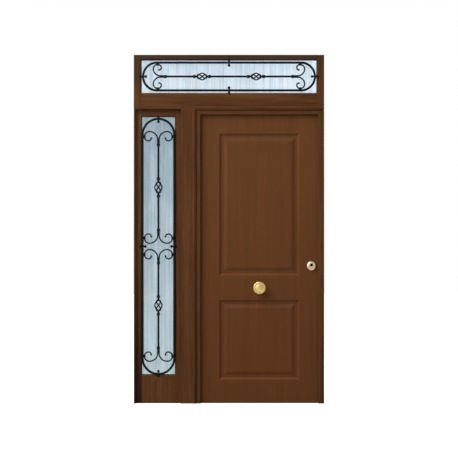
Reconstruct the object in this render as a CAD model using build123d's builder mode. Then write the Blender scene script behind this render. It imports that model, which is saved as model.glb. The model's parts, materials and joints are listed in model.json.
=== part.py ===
from build123d import *
import os
from dataclasses import dataclass
from math import cos, radians, sin

# Security door with a glazed sidelight, a glazed light above and forged grilles, in millimetres.
# X runs along the wall, Y from the street side (negative) to the room side, Z up.
# The origin is on the outer face of the left jamb, at the floor and at the frame's mid depth.

# Widths along the wall, from left to right
left_jamb_width = 10
sidelight_left_stile_width = 43
sidelight_glass_width = 236
sidelight_right_stile_width = 40
mullion_width = 81
door_frame_face = 55
clear_width = 825
lock_jamb_face = 40

# Heights, from the floor up
clear_height = 2020
transom_bottom_rail_height = 93
transom_glass_height = 233
transom_top_rail_height = 35
transom_stile_width = 51
sidelight_bottom_panel_height = 199
sidelight_top_rail_height = 52
sidelight_head_height = 17

# Depths
frame_depth = 80
sidelight_recess = 35
mullion_edge_radius = 4

# Moulding of the door frame: an inner strip, a quirk and a raised bead
strip_width = 25
strip_setback = 4
strip_edge_radius = 3
quirk_width = 3
quirk_depth = 4
bead_foot = 2
bead_rise = 8
bead_crest = 2
bead_edge_radius = 8

# Glazing of both lights
glass_setback = 28
glass_thickness = 6
glass_rebate = 12
glass_edge_gap = 2
bead_depth = 11
bead_joint = 0.4
light_chamfer = 4

# Door leaf: two pressed steel sheets on a filled core
leaf_overlap = 12.5
leaf_side_gap = 5
stop_gap = 5
floor_gap = 5
leaf_thickness = 48
sheet_thickness = 1.5
panel_margin = 132.5
lower_panel_bottom = 166
lower_panel_height = 557
mid_rail_height = 171
panel_step_run = 14
panel_depth = 11
panel_floor_width = 16
panel_slope_run = 26
field_drop = 2

# Hinges
hinge_count = 3
hinge_low_height = 250
hinge_high_height = 1790
hinge_knuckle_height = 60
hinge_barrel_radius = 10
hinge_barrel_clearance = 2
hinge_pin_radius = 5
hinge_pin_length = 48
hinge_pin_fit = 0.08
hinge_bore_spare = 4
hinge_knuckle_gap = 0.3
hinge_plate_width = 32
hinge_plate_thickness = 4
hinge_plate_setback = 1

# Lock, with its bolts drawn back, and the fixed bolts on the hinge side
lock_height = 961
lock_backset = 60
faceplate_width = 22
faceplate_thickness = 3
faceplate_end_margin = 60
bolt_radius = 8
bolt_length = 40
bolt_projection = 1
bolt_clearance = 0.3
main_bolt_spacing = 38
remote_bolt_distance = 620
strike_thickness = 2
strike_hole_clearance = 2
strike_pocket_depth = 14
dog_bolt_radius = 7
dog_bolt_root = 14
dog_bolt_projection = 12
dog_bolt_nose = 3
dog_bolt_play = 5
dog_bolt_offset = 380

# Knob, escutcheons, cylinder and lever
knob_rose_radius = 33
knob_rose_thickness = 9
knob_neck_radius = 13
knob_neck_length = 26
knob_radius = 43
knob_back_height = 18
knob_back_bulge = 6
knob_rim_height = 9
knob_rim_rounding = 5
knob_button_radius = 26
knob_button_rise = 4
knob_groove_depth = 2.5
knob_groove_width = 5
escutcheon_radius = 33
escutcheon_height = 13
escutcheon_edge_height = 4
escutcheon_face_radius = 23.5
cylinder_offset = 7
cylinder_radius = 8.5
cylinder_web_width = 10
cylinder_web_depth = 22
cylinder_clearance = 0.3
cylinder_reach = 10
cylinder_front_reach = 4
keyhole_radius = 10.5
keyway_width = 2.4
keyway_height = 9
keyway_depth = 6
lever_above_lock = 85
lever_rose_radius = 26
lever_rose_thickness = 10
lever_radius = 9
lever_standoff = 52
lever_length = 118
lever_bend_radius = 16

# Wall anchors
anchor_hole_radius = 5.25
anchor_margin = 250
anchor_count = 4
head_anchor_margin = 300

# Forged grilles
grille_standoff = 2
ring_bar_radius = 8
ring_side_clearance_transom = 19.5
ring_end_clearance_transom = 14
ring_side_clearance_sidelight = 7
ring_end_clearance_sidelight = 11
ring_drop_sidelight = 5
spindle_radius = 7
scroll_bar = 9.5
weld_gap = 0.3
bead_radius = 12
bead_length = 22
bead_end_radius = 8
basket_wire_radius = 4.6
basket_wires = 4
basket_twist = 200
basket_root_radius = 5
basket_root_overlap = 3
basket_path_points = 9
fork_tail = 24.5
clip_length = 22
clip_wall = 3
lug_width = 14
lug_neck_width = 10
lug_seat_transom = 8.5
lug_seat_sidelight = 6
lug_boss_radius = 9
lug_ball_reach = 19
lug_ball_radius = 10
snub_radius = 6.5
scroll_end_gap_transom = 67
transom_basket_place = 0.425
transom_basket_half = 32
transom_basket_radius = 27.5
transom_bead_offset = 53
transom_scroll_radii = (31, 24, 14)
scroll_end_gap_sidelight = 84
sidelight_unit_gap = 34.4
sidelight_basket_half = 37
sidelight_basket_radius = 30
sidelight_bead_offset = 61
sidelight_scroll_radii = (36, 29, 19)

# Places that follow from the sizes above
frame_front = -frame_depth / 2
frame_back = frame_depth / 2
sidelight_left = left_jamb_width + sidelight_left_stile_width
sidelight_right = sidelight_left + sidelight_glass_width
mullion_left = sidelight_right + sidelight_right_stile_width
door_frame_left = mullion_left + mullion_width
opening_left = door_frame_left + door_frame_face
opening_right = opening_left + clear_width
opening_middle = (opening_left + opening_right) / 2
unit_width = opening_right + lock_jamb_face
door_unit_height = clear_height + door_frame_face
transom_bottom = door_unit_height + transom_bottom_rail_height
transom_top = transom_bottom + transom_glass_height
unit_height = transom_top + transom_top_rail_height
sash_top = door_unit_height - sidelight_head_height
sash_front = frame_front + sidelight_recess
leaf_back = frame_back
leaf_front = leaf_back - leaf_thickness
leaf_middle = (leaf_front + leaf_back) / 2
stop_back = leaf_front - stop_gap
leaf_left = opening_left - leaf_overlap
leaf_right = opening_right + leaf_overlap
leaf_top = clear_height + leaf_overlap
rebate_depth = leaf_overlap + leaf_side_gap
rebate_left = opening_left - rebate_depth
rebate_right = opening_right + rebate_depth
lower_panel_top = lower_panel_bottom + lower_panel_height
upper_panel_bottom = lower_panel_top + mid_rail_height
upper_panel_top = clear_height - panel_margin
knob_height = (lower_panel_top + upper_panel_bottom) / 2
lock_x = leaf_right - lock_backset
lever_height = lock_height + lever_above_lock
cylinder_height = lock_height + cylinder_offset
hinge_x = leaf_left - leaf_side_gap / 2
hinge_y = frame_back + hinge_barrel_radius + hinge_barrel_clearance
hinge_spacing = (hinge_high_height - hinge_low_height) / (hinge_count - 1)
hinge_heights = [hinge_low_height + i * hinge_spacing for i in range(hinge_count)]
anchor_spacing = (door_unit_height - 2 * anchor_margin) / (anchor_count - 1)
anchor_heights = [anchor_margin + i * anchor_spacing for i in range(anchor_count)]
bolt_heights = [lock_height + i * main_bolt_spacing for i in (-1, 0, 1)]
bolt_heights += [lock_height - remote_bolt_distance, lock_height + remote_bolt_distance]
faceplate_low = min(bolt_heights) - faceplate_end_margin
faceplate_high = max(bolt_heights) + faceplate_end_margin
dog_bolt_heights = [hinge_heights[1] - dog_bolt_offset, hinge_heights[1] + dog_bolt_offset]


def facade(y):
    """A plane along the wall at depth y, with local x along X, local y up and its normal outwards."""
    return Plane.XZ.offset(-y)


def turning_plane(x, y, z, outward):
    """A half-plane for turned pieces: local x is the radius, local y runs out of the leaf."""
    return Plane(origin=(x, y, z), x_dir=(1, 0, 0), z_dir=(0, 0, outward))


def turning_axis(x, y, z, outward):
    return Axis((x, y, z), (0, outward, 0))


def block(x, y, z, mode=Mode.ADD):
    """A box between two values on each axis."""
    with Locations(((x[0] + x[1]) / 2, (y[0] + y[1]) / 2, (z[0] + z[1]) / 2)):
        Box(x[1] - x[0], y[1] - y[0], z[1] - z[0], mode=mode)


def bore(centre, radius, axis, low, high, mode=Mode.SUBTRACT):
    """A round hole or bar along X or Z between two values on that axis."""
    if axis == "X":
        with Locations(((low + high) / 2, centre[0], centre[1])):
            Cylinder(radius, high - low, rotation=(0, 90, 0), mode=mode)
    else:
        with Locations((centre[0], centre[1], (low + high) / 2)):
            Cylinder(radius, high - low, mode=mode)


# Outer members of the sidelight
with BuildPart() as left_jamb:
    block((0, left_jamb_width), (frame_front, frame_back), (0, door_unit_height))
    for height in anchor_heights:
        bore((frame_front + sidelight_recess / 2, height), anchor_hole_radius, "X", 0, left_jamb_width)

with BuildPart() as sidelight_head:
    block((left_jamb_width, mullion_left), (frame_front, frame_back), (sash_top, door_unit_height))

with BuildPart() as mullion:
    block((mullion_left, door_frame_left), (frame_front, frame_back), (0, door_unit_height))
    front_edges = mullion.edges().filter_by(Axis.Z).group_by(Axis.Y)[0]
    fillet(front_edges.sort_by(Axis.X)[0], mullion_edge_radius)


def moulded_section():
    """Section of the door frame: local x is measured from the clear opening, local y outwards."""
    strip_level = -frame_front - strip_setback
    bead_start = strip_width + quirk_width
    bead_level = -frame_front + bead_rise
    crest_end = door_frame_face - bead_edge_radius
    with BuildLine() as section:
        Polyline(
            (strip_edge_radius, strip_level),
            (strip_width, strip_level),
            (strip_width, strip_level - quirk_depth),
            (bead_start, strip_level - quirk_depth),
            (bead_start, -frame_front - bead_foot),
        )
        SagittaArc(
            (bead_start, -frame_front - bead_foot),
            (crest_end - bead_crest, bead_level),
            bead_foot,
        )
        Line((crest_end - bead_crest, bead_level), (crest_end, bead_level))
        RadiusArc((crest_end, bead_level), (door_frame_face, -frame_front), bead_edge_radius)
        Polyline(
            (door_frame_face, -frame_front),
            (door_frame_face, -frame_back),
            (rebate_depth, -frame_back),
            (rebate_depth, -stop_back),
            (0, -stop_back),
            (0, strip_level - strip_edge_radius),
        )
        RadiusArc((0, strip_level - strip_edge_radius), (strip_edge_radius, strip_level), strip_edge_radius)
    make_face(section.edges())


def mitred(*outline):
    """Keep what lies inside an outline drawn along the wall."""
    with BuildSketch(facade(frame_back)) as region:
        with BuildLine():
            Polyline(*outline, close=True)
        make_face()
    extrude(region.sketch, amount=frame_depth + bead_rise, mode=Mode.INTERSECT)


# Door frame, mitred at its two upper corners
lock_mitre_height = clear_height + lock_jamb_face

with BuildPart() as hinge_jamb:
    with BuildSketch(Plane(origin=(opening_left, 0, 0), x_dir=(-1, 0, 0), z_dir=(0, 0, 1))):
        moulded_section()
    extrude(amount=door_unit_height)
    mitred(
        (door_frame_left, 0),
        (opening_left, 0),
        (opening_left, clear_height),
        (door_frame_left, door_unit_height),
    )
    for height in dog_bolt_heights:
        bore(
            (leaf_middle, height),
            dog_bolt_radius + dog_bolt_play,
            "X",
            leaf_left - dog_bolt_projection - dog_bolt_play,
            rebate_left,
        )

with BuildPart() as door_head:
    with BuildSketch(Plane(origin=(door_frame_left, 0, clear_height), x_dir=(0, 0, 1), z_dir=(1, 0, 0))):
        moulded_section()
    extrude(amount=unit_width - door_frame_left)
    mitred(
        (opening_left, clear_height),
        (opening_right, clear_height),
        (unit_width, lock_mitre_height),
        (unit_width, door_unit_height),
        (door_frame_left, door_unit_height),
    )

with BuildPart() as lock_jamb:
    with BuildSketch(Plane(origin=(opening_right, 0, door_unit_height), x_dir=(1, 0, 0), z_dir=(0, 0, -1))):
        moulded_section()
    extrude(amount=door_unit_height)
    mitred(
        (opening_right, 0),
        (unit_width, 0),
        (unit_width, lock_mitre_height),
        (opening_right, clear_height),
    )
    strike_recess = (rebate_right, rebate_right + strike_thickness)
    faceplate_y = (leaf_middle - faceplate_width / 2, leaf_middle + faceplate_width / 2)
    block(strike_recess, faceplate_y, (faceplate_low, faceplate_high), mode=Mode.SUBTRACT)
    for height in bolt_heights:
        bore(
            (leaf_middle, height),
            bolt_radius + strike_hole_clearance,
            "X",
            rebate_right,
            rebate_right + strike_pocket_depth,
        )
    for height in anchor_heights:
        bore(
            ((frame_front + strip_setback + stop_back) / 2, height),
            anchor_hole_radius,
            "X",
            opening_right,
            unit_width,
        )

with BuildPart() as strike_plate:
    block(strike_recess, faceplate_y, (faceplate_low, faceplate_high))
    for height in bolt_heights:
        bore((leaf_middle, height), bolt_radius + strike_hole_clearance, "X", *strike_recess)


@dataclass
class Light:
    """A glazed light: its outer limits, its glass opening, and its depth."""

    outer_x: tuple
    outer_z: tuple
    glass_x: tuple
    glass_z: tuple
    front: float

    def glass_face(self):
        return self.front + glass_setback

    def grown(self, margin):
        x = (self.glass_x[0] - margin, self.glass_x[1] + margin)
        z = (self.glass_z[0] - margin, self.glass_z[1] + margin)
        return x, z


transom = Light(
    outer_x=(0, unit_width),
    outer_z=(door_unit_height, unit_height),
    glass_x=(transom_stile_width, unit_width - transom_stile_width),
    glass_z=(transom_bottom, transom_top),
    front=frame_front,
)
sidelight = Light(
    outer_x=(left_jamb_width, mullion_left),
    outer_z=(0, sash_top),
    glass_x=(sidelight_left, sidelight_right),
    glass_z=(sidelight_bottom_panel_height, sash_top - sidelight_top_rail_height),
    front=sash_front,
)


def light_surround(light):
    """The four members of a light in one piece, rebated from the room side for the glass."""
    with BuildPart() as surround:
        block(light.outer_x, (light.front, frame_back), light.outer_z)
        block(light.glass_x, (light.front, frame_back), light.glass_z, mode=Mode.SUBTRACT)
        rebate_x, rebate_z = light.grown(glass_rebate)
        block(rebate_x, (light.glass_face(), frame_back), rebate_z, mode=Mode.SUBTRACT)
        front_face = surround.faces().filter_by(Axis.Y).sort_by(Axis.Y)[0]
        chamfer(front_face.inner_wires()[0].edges(), light_chamfer)
    return surround.part


def member(light, surround, x, z):
    """One member, cut from the surround where it meets its neighbours."""
    with BuildPart() as piece:
        add(surround)
        block(x, (light.front, frame_back), z, mode=Mode.INTERSECT)
    return piece


transom_surround = light_surround(transom)
transom_left_stile = member(transom, transom_surround, (0, transom_stile_width), transom.outer_z)
transom_right_stile = member(transom, transom_surround, (transom.glass_x[1], unit_width), transom.outer_z)
transom_bottom_rail = member(
    transom, transom_surround, transom.glass_x, (door_unit_height, transom_bottom + glass_rebate)
)
with BuildPart() as transom_top_rail:
    add(member(transom, transom_surround, transom.glass_x, (transom_top - glass_rebate, unit_height)).part)
    for anchor_x in (head_anchor_margin, unit_width - head_anchor_margin):
        bore(
            (anchor_x, frame_front + glass_setback / 2),
            anchor_hole_radius,
            "Z",
            transom_top,
            unit_height,
        )

sidelight_surround = light_surround(sidelight)
sidelight_left_stile = member(
    sidelight, sidelight_surround, (left_jamb_width, sidelight_left), sidelight.outer_z
)
sidelight_right_stile = member(
    sidelight, sidelight_surround, (sidelight_right, mullion_left), sidelight.outer_z
)
sidelight_bottom_panel = member(
    sidelight, sidelight_surround, sidelight.glass_x, (0, sidelight.glass_z[0] + glass_rebate)
)
sidelight_top_rail = member(
    sidelight, sidelight_surround, sidelight.glass_x, (sidelight.glass_z[1] - glass_rebate, sash_top)
)


def pane(light):
    """The sheet of glass, held in the rebate with room at its edges."""
    with BuildPart() as glass:
        x, z = light.grown(glass_rebate - glass_edge_gap)
        block(x, (light.glass_face(), light.glass_face() + glass_thickness), z)
    return glass


def glazing_beads(light):
    """Four square beads that hold the glass from the room side."""
    y = (light.glass_face() + glass_thickness, light.glass_face() + glass_thickness + bead_depth)
    rebate_x, rebate_z = light.grown(glass_rebate)
    upright_z = (light.glass_z[0] + bead_joint, light.glass_z[1] - bead_joint)
    with BuildPart() as beads:
        block(rebate_x, y, (rebate_z[0], light.glass_z[0]))
        block(rebate_x, y, (light.glass_z[1], rebate_z[1]))
        block((rebate_x[0], light.glass_x[0]), y, upright_z)
        block((light.glass_x[1], rebate_x[1]), y, upright_z)
    return beads


transom_glass = pane(transom)
transom_glazing_beads = glazing_beads(transom)
sidelight_glass = pane(sidelight)
sidelight_glazing_beads = glazing_beads(sidelight)


@dataclass
class Grille:
    """One grille, measured along and across its spindles from the middle of its ring."""

    plane: Plane
    half_length: float
    half_width: float
    units: int
    end_gap: float
    unit_gap: float
    basket_places: tuple
    basket_half: float
    basket_radius: float
    bead_offset: float
    scroll_radii: tuple
    lug_reach: float

    def first_scroll_radius(self):
        """The opening bend of a scroll, which brings the next one against the ring."""
        room = self.half_width - ring_bar_radius - weld_gap - scroll_bar
        return room - self.scroll_radii[0]

    def unit_half(self):
        """Half the length of one spindle with the scrolls at its ends."""
        gaps = self.end_gap + (self.units - 1) * self.unit_gap / 2
        return (self.half_length - gaps) / self.units

    def unit_centres(self):
        pitch = 2 * self.unit_half() + self.unit_gap
        return [(i - (self.units - 1) / 2) * pitch for i in range(self.units)]

    def spindle_half(self):
        fork_reach = bead_length / 2 + fork_tail + self.first_scroll_radius() + scroll_bar / 2
        return self.unit_half() - fork_reach

    def basket_offsets(self):
        return [place * self.spindle_half() for place in self.basket_places]

    def fork(self):
        return self.spindle_half() + bead_length / 2 + fork_tail

    def touch(self):
        """Where along a unit its scrolls touch the ring."""
        return self.fork() + self.first_scroll_radius() - self.scroll_radii[0]


def middle(limits):
    return (limits[0] + limits[1]) / 2


def half(limits):
    return (limits[1] - limits[0]) / 2


def grille_plane(light, along, drop):
    origin = (middle(light.glass_x), light.front - grille_standoff, middle(light.glass_z) - drop)
    return Plane(origin=origin, x_dir=along, z_dir=(0, -1, 0))


transom_grille = Grille(
    plane=grille_plane(transom, (1, 0, 0), 0),
    half_length=half(transom.glass_x) - ring_end_clearance_transom,
    half_width=half(transom.glass_z) - ring_side_clearance_transom,
    units=1,
    end_gap=scroll_end_gap_transom,
    unit_gap=0,
    basket_places=(-transom_basket_place, transom_basket_place),
    basket_half=transom_basket_half,
    basket_radius=transom_basket_radius,
    bead_offset=transom_bead_offset,
    scroll_radii=transom_scroll_radii,
    lug_reach=ring_side_clearance_transom + lug_seat_transom,
)
sidelight_grille = Grille(
    plane=grille_plane(sidelight, (0, 0, 1), ring_drop_sidelight),
    half_length=half(sidelight.glass_z) - ring_end_clearance_sidelight,
    half_width=half(sidelight.glass_x) - ring_side_clearance_sidelight,
    units=2,
    end_gap=scroll_end_gap_sidelight,
    unit_gap=sidelight_unit_gap,
    basket_places=(0,),
    basket_half=sidelight_basket_half,
    basket_radius=sidelight_basket_radius,
    bead_offset=sidelight_bead_offset,
    scroll_radii=sidelight_scroll_radii,
    lug_reach=ring_end_clearance_sidelight + ring_drop_sidelight + lug_seat_sidelight,
)


def scroll_fork(grille):
    """Two scrolls that part from one tail, made for the far end of a unit at the middle."""
    first, second, third = grille.scroll_radii
    with BuildPart() as fork:
        with BuildLine() as path:
            tail = Line(
                (grille.spindle_half() + bead_length / 2, scroll_bar / 2),
                (grille.fork(), scroll_bar / 2),
            )
            opening = JernArc(tail @ 1, tail % 1, grille.first_scroll_radius(), 90)
            shoulder = JernArc(opening @ 1, opening % 1, first, 90)
            curl = JernArc(shoulder @ 1, shoulder % 1, second, 90)
            tip = JernArc(curl @ 1, curl % 1, third, 90)
        with BuildSketch(Plane(origin=path.line @ 0, z_dir=path.line % 0)):
            Rectangle(scroll_bar, scroll_bar)
        sweep()
        with Locations(tip @ 1):
            Cylinder(snub_radius, scroll_bar)
        mirror(about=Plane.XZ)
    return fork.part


def grille_scrolls(grille):
    """The forks at both ends of every unit."""
    fork = scroll_fork(grille)
    with BuildPart() as scrolls:
        for centre in grille.unit_centres():
            add(fork.moved(Location((centre, 0, 0))))
            add(fork.moved(Location((centre, 0, 0), (0, 0, 180))))
    return scrolls.part


def turned_bead():
    """A bead on a spindle, fullest at its middle."""
    half_length = bead_length / 2
    with BuildPart() as piece:
        with BuildSketch():
            with BuildLine():
                start = Line((-half_length, 0), (-half_length, bead_end_radius))
                barrel = ThreePointArc(start @ 1, (0, bead_radius), (half_length, bead_end_radius))
                Polyline(barrel @ 1, (half_length, 0), start @ 0)
            make_face()
        revolve(axis=Axis.X)
    return piece.part


def basket(grille):
    """Round wires that bow out to an oval while they wind about the spindle's line."""
    swell = grille.basket_radius - basket_wire_radius - basket_root_radius
    winding = []
    for i in range(basket_path_points):
        share = i / (basket_path_points - 1)
        sweep_angle = radians(180 * share)
        turn = radians(basket_twist * (share - 0.5))
        reach = basket_root_radius + swell * sin(sweep_angle)
        winding.append((-grille.basket_half * cos(sweep_angle), reach * cos(turn), reach * sin(turn)))
    with BuildPart() as wires:
        with BuildLine() as path:
            Spline(*winding)
        with BuildSketch(Plane(origin=path.line @ 0, z_dir=path.line % 0)):
            Circle(basket_wire_radius)
        sweep()
    wire = wires.part
    return [wire.rotate(Axis.X, i * 360 / basket_wires) for i in range(basket_wires)]


def grille_spindles(grille):
    """Round bars with beads, opened into baskets."""
    wires = basket(grille)
    bead = turned_bead()
    root = grille.basket_half - basket_root_overlap
    with BuildPart() as spindles:
        for centre in grille.unit_centres():
            ends = [-grille.spindle_half()]
            bead_places = [-grille.spindle_half(), grille.spindle_half()]
            for offset in grille.basket_offsets():
                ends += [offset - root, offset + root]
                bead_places += [offset - grille.bead_offset, offset + grille.bead_offset]
                for wire in wires:
                    add(wire.moved(Location((centre + offset, 0, 0))))
            ends.append(grille.spindle_half())
            for low, high in zip(ends[::2], ends[1::2]):
                bore((0, 0), spindle_radius, "X", centre + low, centre + high, mode=Mode.ADD)
            for place in bead_places:
                add(bead.moved(Location((centre + place, 0, 0))))
    return spindles.part


def grille_lug(reach):
    """A lug across the ring: a ball on a neck inside it, a plate and a round boss outside."""
    thickness = (-grille_standoff, grille_standoff)
    with BuildPart() as lug:
        block((-lug_ball_reach, 0), (-lug_neck_width / 2, lug_neck_width / 2), thickness)
        block((0, reach - lug_boss_radius), (-lug_width / 2, lug_width / 2), thickness)
        with Locations((-lug_ball_reach, 0, 0)):
            Sphere(lug_ball_radius)
        with Locations((reach - lug_boss_radius, 0, 0)):
            Cylinder(lug_boss_radius, 2 * grille_standoff)
    return lug.part


def grille_ring(grille, scrolls):
    """The long ring with the clips that hold the scrolls and the lugs that hold it to its light."""
    straight = grille.half_length - grille.half_width
    lug = grille_lug(grille.lug_reach)
    with BuildPart() as ring:
        with BuildLine() as path:
            side = Line((0, grille.half_width), (straight, grille.half_width))
            end = JernArc(side @ 1, side % 1, grille.half_width, -180)
            Line(end @ 1, (0, -grille.half_width))
        with BuildSketch(Plane(origin=path.line @ 0, z_dir=path.line % 0)):
            Circle(ring_bar_radius)
        sweep()
        mirror(about=Plane.YZ)
        clip_outer = grille.half_width
        clip_inner = grille.half_width - ring_bar_radius - weld_gap - scroll_bar - clip_wall
        clip_z = (-ring_bar_radius - clip_wall, ring_bar_radius + clip_wall)
        for centre in grille.unit_centres():
            for place in (centre - grille.touch(), centre + grille.touch()):
                clip_x = (place - clip_length / 2, place + clip_length / 2)
                block(clip_x, (clip_inner, clip_outer), clip_z)
                block(clip_x, (-clip_outer, -clip_inner), clip_z)
        for x, y, turn in (
            (grille.half_length, 0, 0),
            (0, grille.half_width, 90),
            (-grille.half_length, 0, 180),
            (0, -grille.half_width, 270),
        ):
            add(lug.moved(Location((x, y, 0), (0, 0, turn))))
        add(scrolls, mode=Mode.SUBTRACT)
    return ring.part


def placed(piece, plane):
    with BuildPart() as result:
        add(piece.moved(plane.location))
    return result


transom_scroll_part = grille_scrolls(transom_grille)
transom_grille_ring = placed(grille_ring(transom_grille, transom_scroll_part), transom_grille.plane)
transom_grille_scrolls = placed(transom_scroll_part, transom_grille.plane)
transom_grille_spindle = placed(grille_spindles(transom_grille), transom_grille.plane)

sidelight_scroll_part = grille_scrolls(sidelight_grille)
sidelight_grille_ring = placed(grille_ring(sidelight_grille, sidelight_scroll_part), sidelight_grille.plane)
sidelight_grille_scrolls = placed(sidelight_scroll_part, sidelight_grille.plane)
sidelight_grille_spindles = placed(grille_spindles(sidelight_grille), sidelight_grille.plane)


def panel_outline(y, panel_z, inset):
    """A panel's rectangle at depth y, drawn in from its outer edge."""
    with BuildSketch(facade(y)) as outline:
        with Locations((opening_middle, middle(panel_z))):
            Rectangle(clear_width - 2 * panel_margin - 2 * inset, 2 * half(panel_z) - 2 * inset)
    return outline.sketch


def pressed_panels(face, inward):
    """Press both panels into a face: a stepped groove round a raised field."""
    floor_edge = panel_step_run + panel_floor_width
    for panel_z in ((lower_panel_bottom, lower_panel_top), (upper_panel_bottom, upper_panel_top)):
        rim = panel_outline(face, panel_z, 0)
        floor_outer = panel_outline(face + inward * panel_depth, panel_z, panel_step_run)
        loft([rim, floor_outer], mode=Mode.SUBTRACT)
        floor_inner = panel_outline(face + inward * panel_depth, panel_z, floor_edge)
        field = panel_outline(face + inward * field_drop, panel_z, floor_edge + panel_slope_run)
        loft([floor_inner, field])


def cylinder_hole():
    """The opening for the lock cylinder, right through the leaf."""
    with BuildSketch(facade(leaf_back)) as hole:
        cylinder_section(cylinder_clearance)
    extrude(hole.sketch, amount=leaf_thickness, mode=Mode.SUBTRACT)


def cylinder_section(clearance):
    """A round plug over a narrow web, as lock cylinders have."""
    with Locations((lock_x, cylinder_height)):
        Circle(cylinder_radius + clearance)
    with Locations((lock_x, cylinder_height - cylinder_web_depth / 2)):
        Rectangle(cylinder_web_width + 2 * clearance, cylinder_web_depth + 2 * clearance)


leaf_x = (leaf_left, leaf_right)
leaf_z = (floor_gap, leaf_top)
inside_x = (leaf_left + sheet_thickness, leaf_right - sheet_thickness)
inside_z = (floor_gap + sheet_thickness, leaf_top - sheet_thickness)
core_front = leaf_front + sheet_thickness
core_back = leaf_back - sheet_thickness
dog_bolt_inner = leaf_left + dog_bolt_root
bolt_inner = leaf_right - bolt_length

# What the two sheets of the leaf enclose
with BuildPart() as leaf_filling:
    block(inside_x, (core_front, core_back), inside_z)
    pressed_panels(core_front, 1)
    pressed_panels(core_back, -1)

# The space inside the outer sheet and its turned edges
with BuildPart() as pan_inside:
    block(inside_x, (core_front, leaf_back), inside_z)
    pressed_panels(core_front, 1)

with BuildPart() as leaf_outer_skin:
    block(leaf_x, (leaf_front, leaf_back), leaf_z)
    pressed_panels(leaf_front, 1)
    add(pan_inside.part, mode=Mode.SUBTRACT)
    cylinder_hole()
    block((inside_x[1], leaf_right), faceplate_y, (faceplate_low, faceplate_high), mode=Mode.SUBTRACT)
    for height in dog_bolt_heights:
        bore((leaf_middle, height), dog_bolt_radius + bolt_clearance, "X", leaf_left, inside_x[0])

with BuildPart() as leaf_inner_skin:
    block(inside_x, (leaf_middle, leaf_back), inside_z)
    pressed_panels(leaf_back, -1)
    add(leaf_filling.part, mode=Mode.SUBTRACT)
    cylinder_hole()

with BuildPart() as leaf_core:
    add(leaf_filling.part)
    cylinder_hole()
    faceplate_x = (leaf_right - faceplate_thickness, leaf_right)
    block(faceplate_x, faceplate_y, (faceplate_low, faceplate_high), mode=Mode.SUBTRACT)
    for height in bolt_heights:
        bore((leaf_middle, height), bolt_radius + bolt_clearance, "X", bolt_inner, leaf_right)
    for height in dog_bolt_heights:
        bore((leaf_middle, height), dog_bolt_radius + bolt_clearance, "X", leaf_left, dog_bolt_inner)

with BuildPart() as lock_faceplate:
    block(faceplate_x, faceplate_y, (faceplate_low, faceplate_high))
    for height in bolt_heights:
        bore((leaf_middle, height), bolt_radius + bolt_clearance, "X", *faceplate_x)

with BuildPart() as lock_bolts:
    for height in bolt_heights:
        bore((leaf_middle, height), bolt_radius, "X", bolt_inner, leaf_right + bolt_projection, mode=Mode.ADD)
    chamfer(lock_bolts.edges().filter_by(GeomType.CIRCLE).group_by(Axis.X)[-1], bolt_projection)

with BuildPart() as dog_bolts:
    for height in dog_bolt_heights:
        dog_bolt_tip = leaf_left - dog_bolt_projection
        bore((leaf_middle, height), dog_bolt_radius, "X", dog_bolt_tip, dog_bolt_inner, mode=Mode.ADD)
    chamfer(dog_bolts.edges().filter_by(GeomType.CIRCLE).group_by(Axis.X)[0], dog_bolt_nose)

# Hinges, on the room side
plate_y = (frame_back, frame_back + hinge_plate_thickness)


def hinge_half(side):
    """Plate, web and barrel of one half, seen from above; side is -1 for the frame, 1 for the leaf."""
    near_edge = side * (leaf_side_gap / 2 + hinge_plate_setback)
    far_edge = near_edge + side * hinge_plate_width
    web_foot = side * hinge_barrel_radius
    with BuildLine() as plate:
        Polyline(
            (hinge_x + near_edge, plate_y[0]),
            (hinge_x + far_edge, plate_y[0]),
            (hinge_x + far_edge, plate_y[1]),
            (hinge_x + web_foot, plate_y[1]),
            (hinge_x + web_foot, hinge_y),
            (hinge_x + near_edge, hinge_y),
            close=True,
        )
    make_face(plate.edges())
    with Locations((hinge_x, hinge_y)):
        Circle(hinge_barrel_radius)


with BuildPart() as hinge_frame_halves:
    for height in hinge_heights:
        with BuildSketch(Plane.XY.offset(height - hinge_knuckle_height)):
            hinge_half(-1)
        extrude(amount=hinge_knuckle_height)
        pin_top = height + hinge_pin_length
        bore((hinge_x, hinge_y), hinge_pin_radius, "Z", height, pin_top, mode=Mode.ADD)

with BuildPart() as hinge_leaf_halves:
    for height in hinge_heights:
        with BuildSketch(Plane.XY.offset(height + hinge_knuckle_gap)):
            hinge_half(1)
        extrude(amount=hinge_knuckle_height)
        bore_top = height + hinge_pin_length + hinge_bore_spare
        bore((hinge_x, hinge_y), hinge_pin_radius + hinge_pin_fit, "Z", height, bore_top)


def turned_disc(radius, thickness, rounding):
    """Profile of a flat rose with a rounded edge."""
    with BuildLine() as profile:
        Polyline((0, thickness), (0, 0), (radius, 0), (radius, thickness - rounding))
        RadiusArc((radius, thickness - rounding), (radius - rounding, thickness), -rounding)
        Line((radius - rounding, thickness), (0, thickness))
    make_face(profile.edges())


# Pull knob, fixed to the middle of the leaf
with BuildPart() as knob_rose:
    with BuildSketch(turning_plane(opening_middle, leaf_front, knob_height, -1)):
        turned_disc(knob_rose_radius, knob_rose_thickness, knob_rose_thickness / 2)
    revolve(axis=turning_axis(opening_middle, leaf_front, knob_height, -1))

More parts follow.
